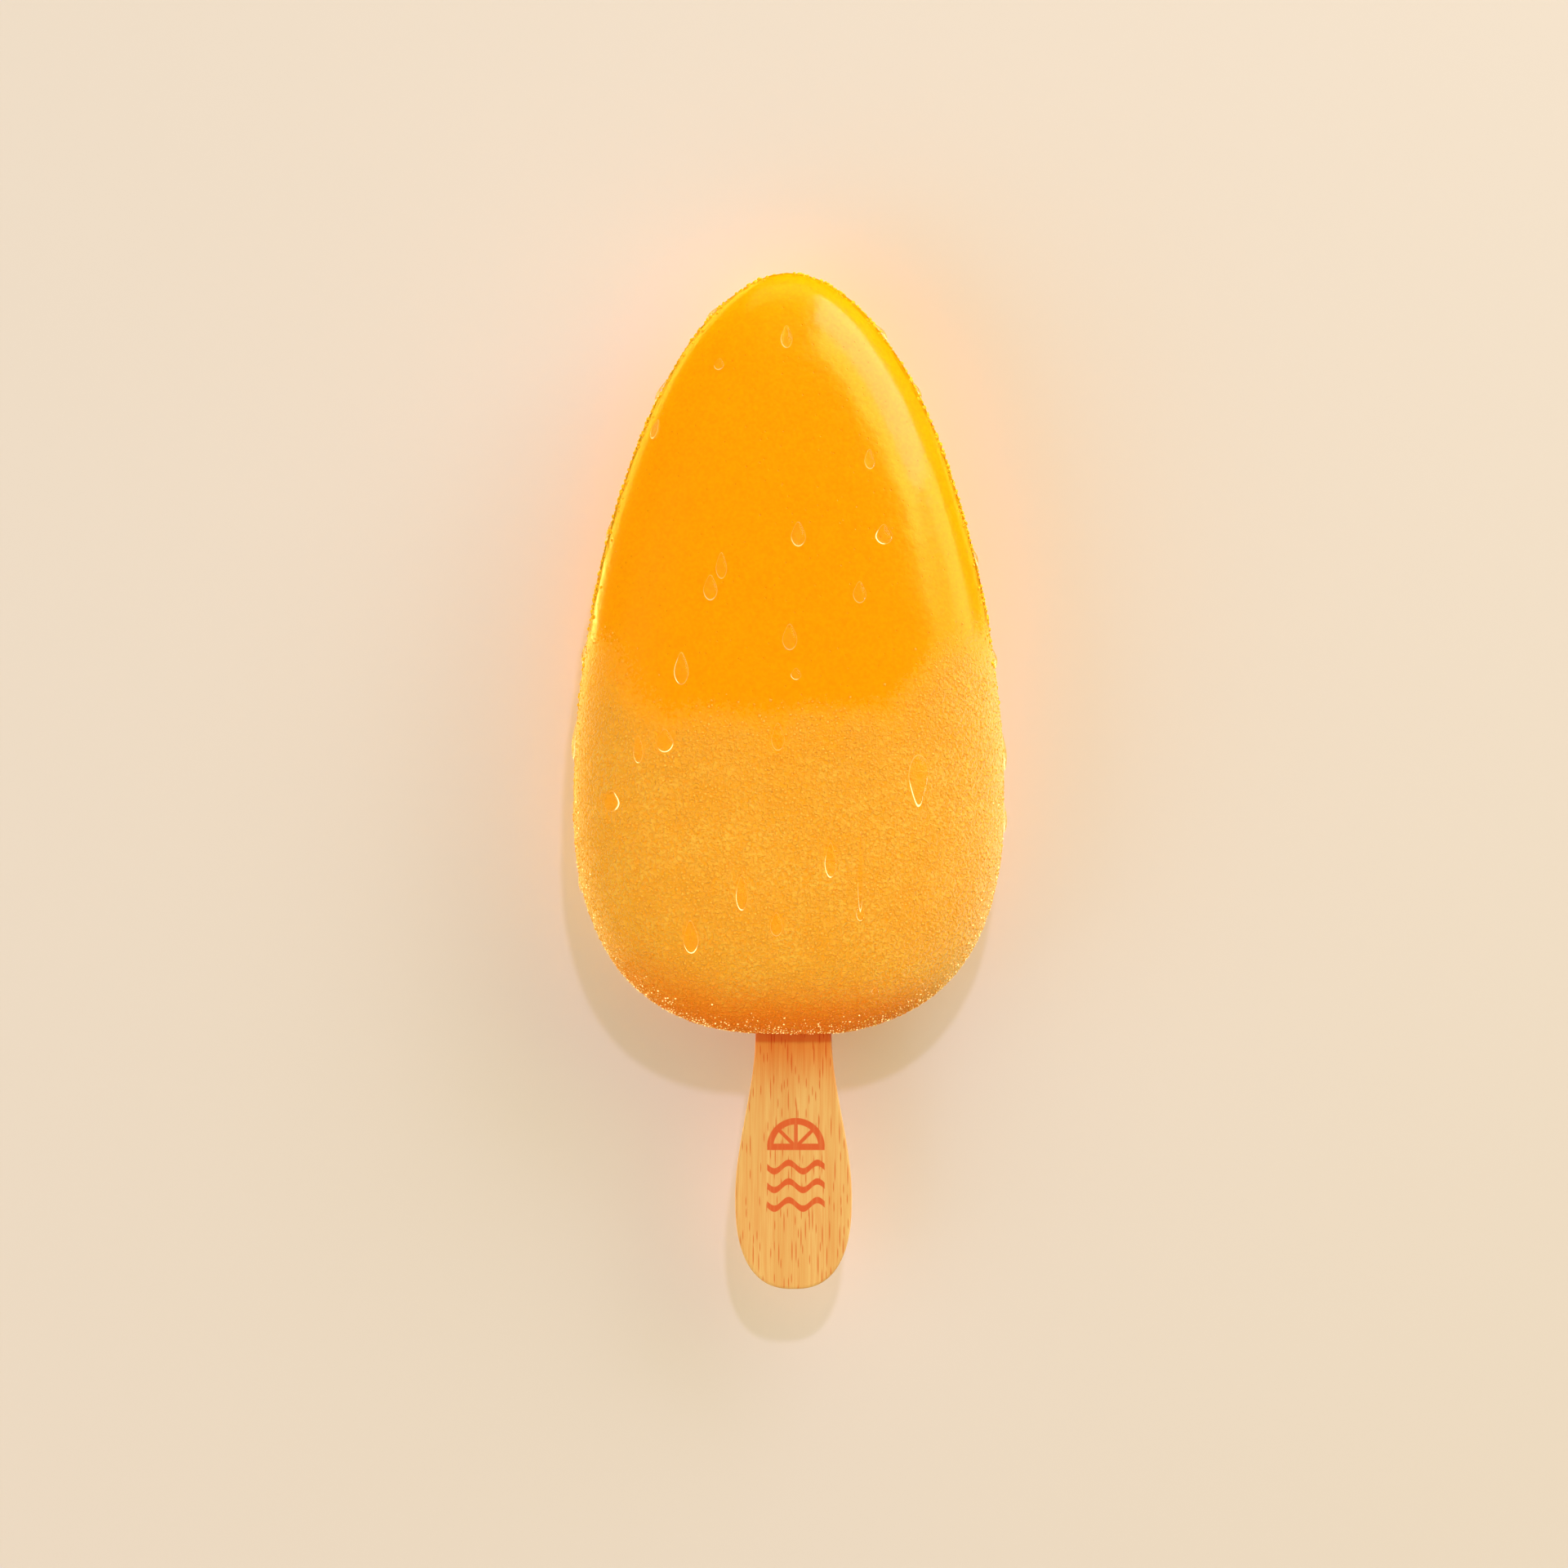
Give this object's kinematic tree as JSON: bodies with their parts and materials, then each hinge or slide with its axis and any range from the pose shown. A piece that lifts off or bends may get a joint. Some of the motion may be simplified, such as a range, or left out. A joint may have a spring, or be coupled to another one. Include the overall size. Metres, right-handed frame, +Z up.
{
  "type": "ice pop",
  "caption": "Egg-shaped fruit ice pop on a flat flared beech stick, frosted below and wet above, with drops of melt water, lying on its back.",
  "frame": {"origin": "under the middle of the whole, on the surface that the pop lies on", "axes": "+Y from the handle to the tip of the ice, +Z up through the pop's thickness, out of the face that the picture shows, +X to that face's right"},
  "size_m": [0.0561, 0.1308, 0.0251],
  "materials": {
    "fruit_ice": "orange fruit ice, wet and smooth on the upper part, dulled by fine frost on the lower half and the base",
    "frost": "grains of frozen water on the ice, pale orange from the ice under them, with small sparkles",
    "melt_water": "clear drops of melt water with bright rims",
    "beech": "bare steamed beech with short dark rays, matt, with a small orange-red printed ornament"
  },
  "bodies": {
    "root": {"fruit_ice": "fruit_ice", "stick": "beech"}
  },
  "joints": []
}
